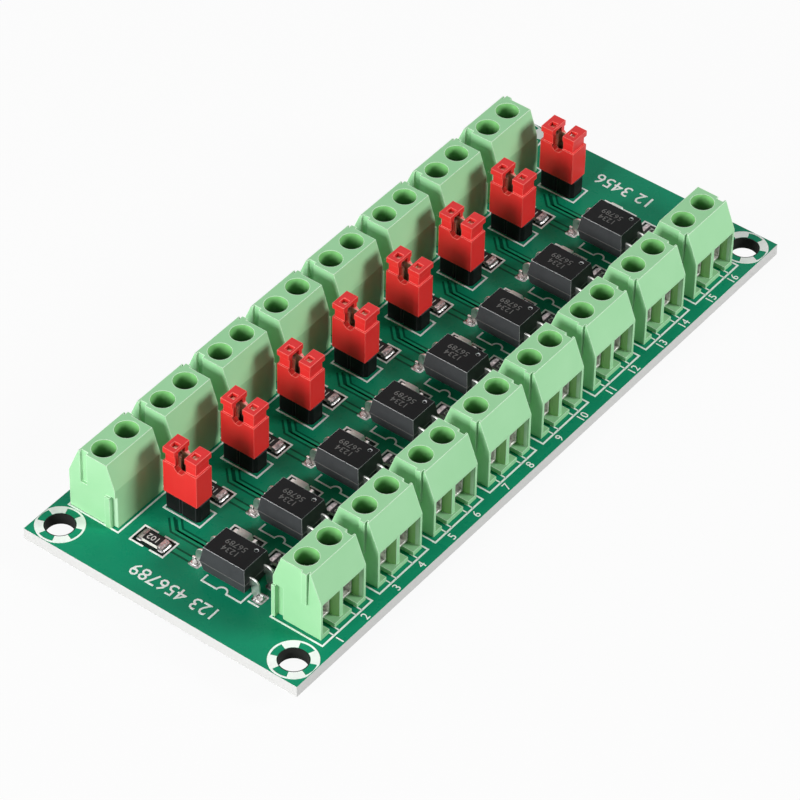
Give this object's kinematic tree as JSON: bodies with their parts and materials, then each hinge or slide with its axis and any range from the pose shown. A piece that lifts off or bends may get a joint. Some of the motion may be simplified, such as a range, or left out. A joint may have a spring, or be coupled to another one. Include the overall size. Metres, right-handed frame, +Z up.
{
  "type": "optocoupler isolation board",
  "caption": "Circuit board that isolates logic signals through optocouplers, with screw terminals along both long edges and a pull-up jumper for each channel.",
  "frame": {"origin": "middle of the board in plan, at the tips of the terminals' solder tails, on which the board stands", "axes": "+X along the board from the first channel to the last, +Y across it from the input terminals to the output terminals, +Z up out of the component side"},
  "size_m": [0.094, 0.0396, 0.0129],
  "materials": {
    "solder_mask": "green solder mask with a satin gloss over copper traces, pale laminate at the edges, white print",
    "terminal_plastic": "pale green moulded polyamide, satin",
    "plated_steel": "bright nickel or tin plate",
    "tinned_brass": "tin-plated brass, soft shine",
    "spring_bronze": "plain spring bronze",
    "header_plastic": "black moulded plastic",
    "cap_plastic": "red moulded plastic, satin",
    "mould_compound": "black moulding compound, fine matte",
    "light_lens": "milky moulded lens on a white base with tinned ends",
    "resistor_ceramic": "black glaze over white ceramic, tinned ends"
  },
  "bodies": {
    "board": {"pcb": "solder_mask", "input_terminal_housing_1": "terminal_plastic", "input_terminal_housing_2": "terminal_plastic", "input_terminal_housing_3": "terminal_plastic", "input_terminal_housing_4": "terminal_plastic", "input_terminal_housing_5": "terminal_plastic", "input_terminal_housing_6": "terminal_plastic", "input_terminal_housing_7": "terminal_plastic", "input_terminal_housing_8": "terminal_plastic", "input_terminal_screws": "plated_steel", "input_clamp_cages": "plated_steel", "input_contact_pins": "tinned_brass", "input_resistors": "resistor_ceramic", "output_terminal_housing_1": "terminal_plastic", "output_terminal_housing_2": "terminal_plastic", "output_terminal_housing_3": "terminal_plastic", "output_terminal_housing_4": "terminal_plastic", "output_terminal_housing_5": "terminal_plastic", "output_terminal_housing_6": "terminal_plastic", "output_terminal_housing_7": "terminal_plastic", "output_terminal_housing_8": "terminal_plastic", "output_terminal_screws": "plated_steel", "output_clamp_cages": "plated_steel", "output_contact_pins": "tinned_brass", "output_resistors": "resistor_ceramic", "jumper_header_1": "header_plastic", "optocoupler_1": "mould_compound", "jumper_header_2": "header_plastic", "optocoupler_2": "mould_compound", "jumper_header_3": "header_plastic", "optocoupler_3": "mould_compound", "jumper_header_4": "header_plastic", "optocoupler_4": "mould_compound", "jumper_header_5": "header_plastic", "optocoupler_5": "mould_compound", "jumper_header_6": "header_plastic", "optocoupler_6": "mould_compound", "jumper_header_7": "header_plastic", "optocoupler_7": "mould_compound", "jumper_header_8": "header_plastic", "optocoupler_8": "mould_compound", "header_pins": "tinned_brass", "indicator_lights": "light_lens", "optocoupler_leads": "plated_steel"},
    "jumper_1": {"jumper_cap_1": "cap_plastic", "jumper_contact_1": "spring_bronze"},
    "jumper_2": {"jumper_cap_2": "cap_plastic", "jumper_contact_2": "spring_bronze"},
    "jumper_3": {"jumper_cap_3": "cap_plastic", "jumper_contact_3": "spring_bronze"},
    "jumper_4": {"jumper_cap_4": "cap_plastic", "jumper_contact_4": "spring_bronze"},
    "jumper_5": {"jumper_cap_5": "cap_plastic", "jumper_contact_5": "spring_bronze"},
    "jumper_6": {"jumper_cap_6": "cap_plastic", "jumper_contact_6": "spring_bronze"},
    "jumper_7": {"jumper_cap_7": "cap_plastic", "jumper_contact_7": "spring_bronze"},
    "jumper_8": {"jumper_cap_8": "cap_plastic", "jumper_contact_8": "spring_bronze"}
  },
  "joints": [
    {"name": "jumper_1_lift", "type": "slide", "parent": "board", "child": "jumper_1", "axis": [0, 0, 1], "range_m": [0, 0.006]},
    {"name": "jumper_2_lift", "type": "slide", "parent": "board", "child": "jumper_2", "axis": [0, 0, 1], "range_m": [0, 0.006]},
    {"name": "jumper_3_lift", "type": "slide", "parent": "board", "child": "jumper_3", "axis": [0, 0, 1], "range_m": [0, 0.006]},
    {"name": "jumper_4_lift", "type": "slide", "parent": "board", "child": "jumper_4", "axis": [0, 0, 1], "range_m": [0, 0.006]},
    {"name": "jumper_5_lift", "type": "slide", "parent": "board", "child": "jumper_5", "axis": [0, 0, 1], "range_m": [0, 0.006]},
    {"name": "jumper_6_lift", "type": "slide", "parent": "board", "child": "jumper_6", "axis": [0, 0, 1], "range_m": [0, 0.006]},
    {"name": "jumper_7_lift", "type": "slide", "parent": "board", "child": "jumper_7", "axis": [0, 0, 1], "range_m": [0, 0.006]},
    {"name": "jumper_8_lift", "type": "slide", "parent": "board", "child": "jumper_8", "axis": [0, 0, 1], "range_m": [0, 0.006]}
  ]
}
